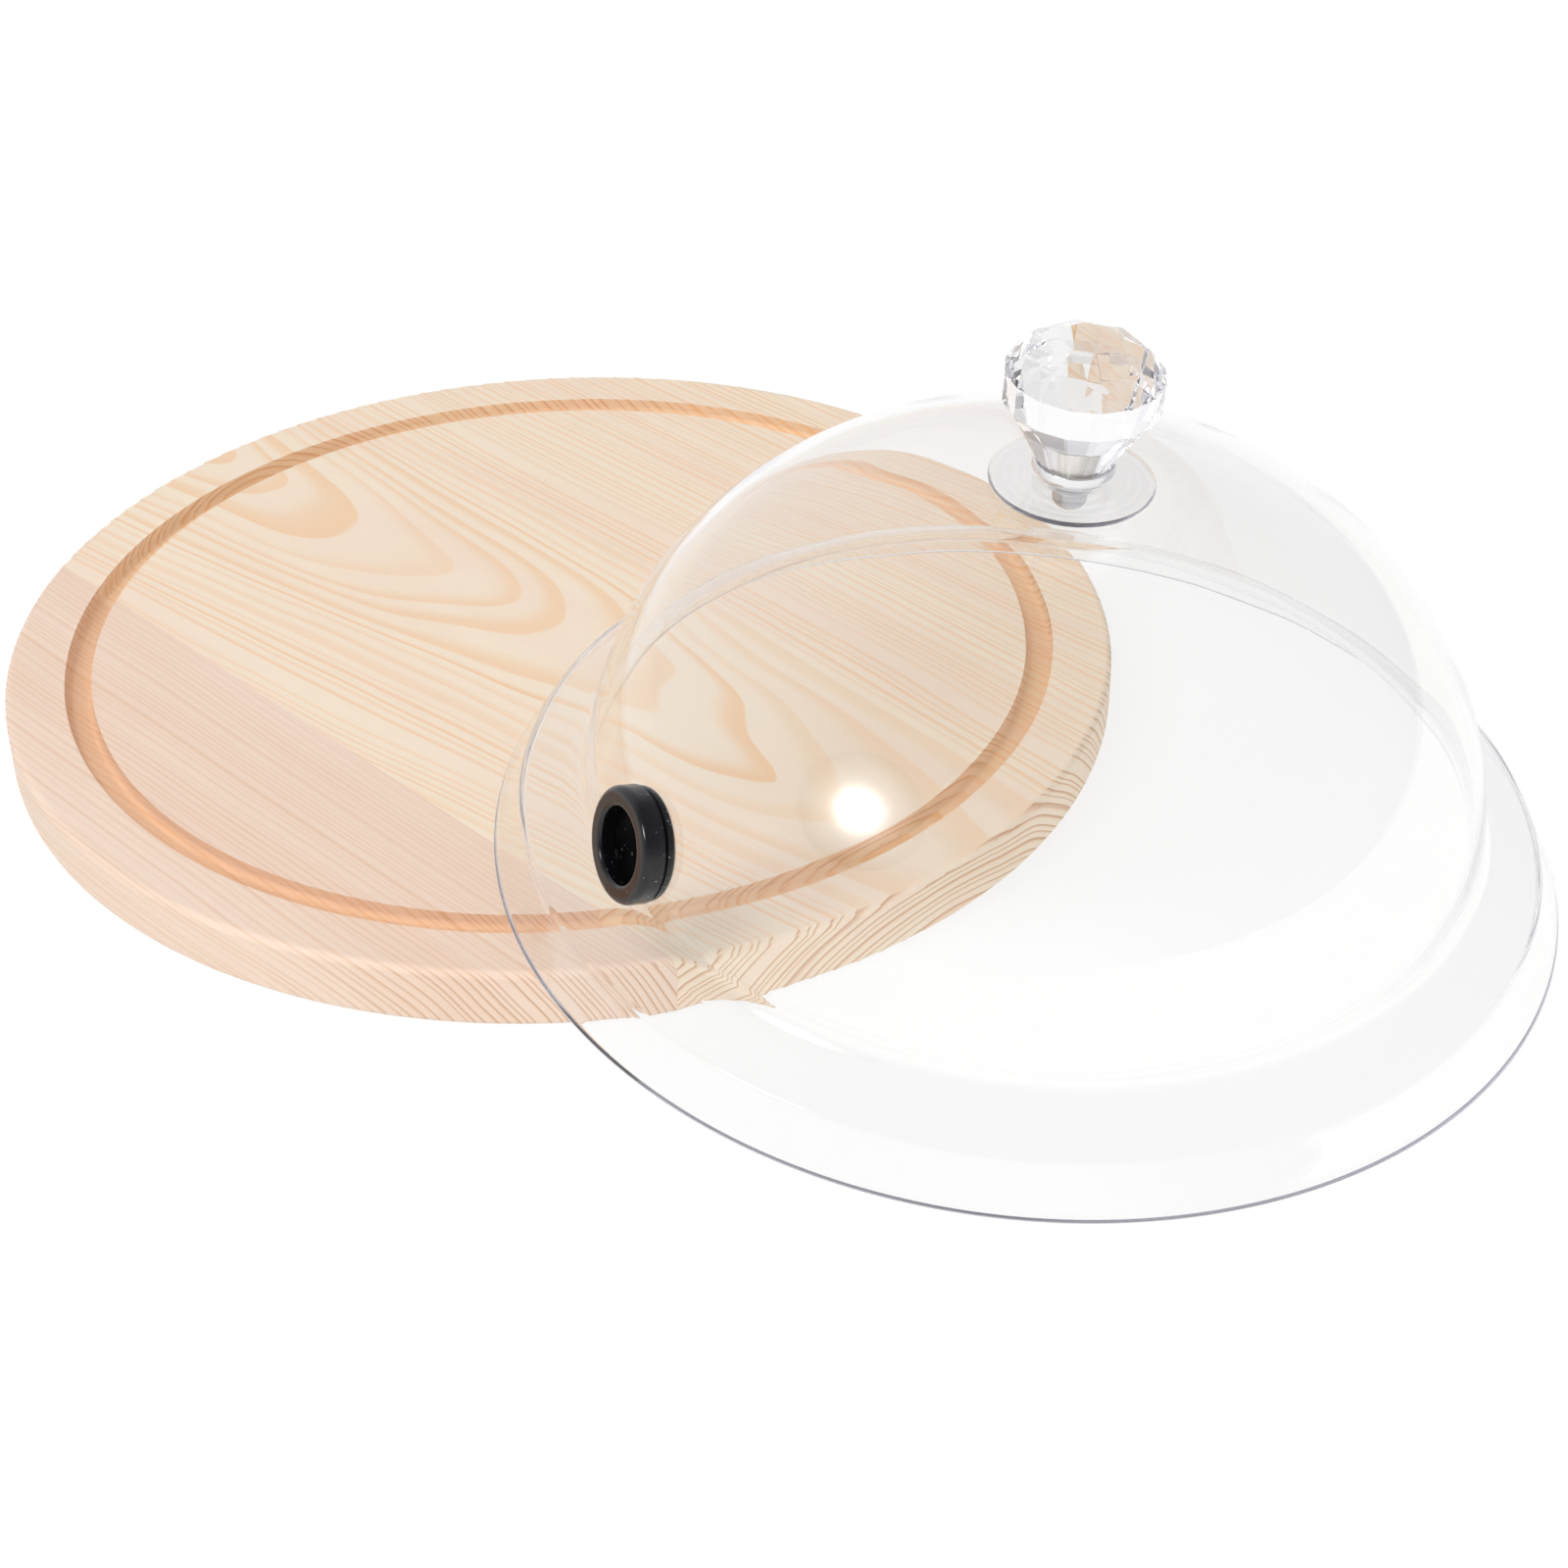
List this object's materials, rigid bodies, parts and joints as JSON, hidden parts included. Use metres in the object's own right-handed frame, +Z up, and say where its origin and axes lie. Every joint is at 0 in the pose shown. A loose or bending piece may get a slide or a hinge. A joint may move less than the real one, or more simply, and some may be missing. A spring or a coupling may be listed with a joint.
{
  "type": "cheese dome",
  "caption": "Clear bell dome with a flared skirt, faceted knob and rubber hose port, leaning on the edge of a round grooved wooden board.",
  "frame": {"origin": "centre of the board's underside", "axes": "+Z up out of the board's top face, +X from the board's centre towards the leaning dome's centre, +Y to the left of +X seen from above"},
  "size_m": [0.4346, 0.3, 0.156],
  "materials": {
    "pine_main": "sanded, lightly oiled",
    "pine_edge": "sanded, lightly oiled",
    "clear_acrylic": "clear, polished",
    "black_rubber": "smooth, glossy",
    "knob_glass": "clear, cut and polished",
    "insert_metal": "bright",
    "chrome": "mirror polished",
    "clear_silicone": "clear, soft",
    "steel": "plain"
  },
  "bodies": {
    "board": {"board_plank_main": "pine_main", "board_plank_edge": "pine_edge"},
    "dome": {"dome_shell": "clear_acrylic", "hose_grommet": "black_rubber", "knob_crystal": "knob_glass", "knob_insert": "insert_metal", "knob_cup": "chrome", "knob_plate": "clear_acrylic", "gasket_outer": "clear_silicone", "gasket_inner": "clear_silicone", "washer_inner": "steel", "knob_screw": "steel"}
  },
  "joints": [
    {"name": "dome_lift", "type": "slide", "parent": "board", "child": "dome", "axis": [0, 0, 1], "range_m": [0, 0.2]}
  ]
}
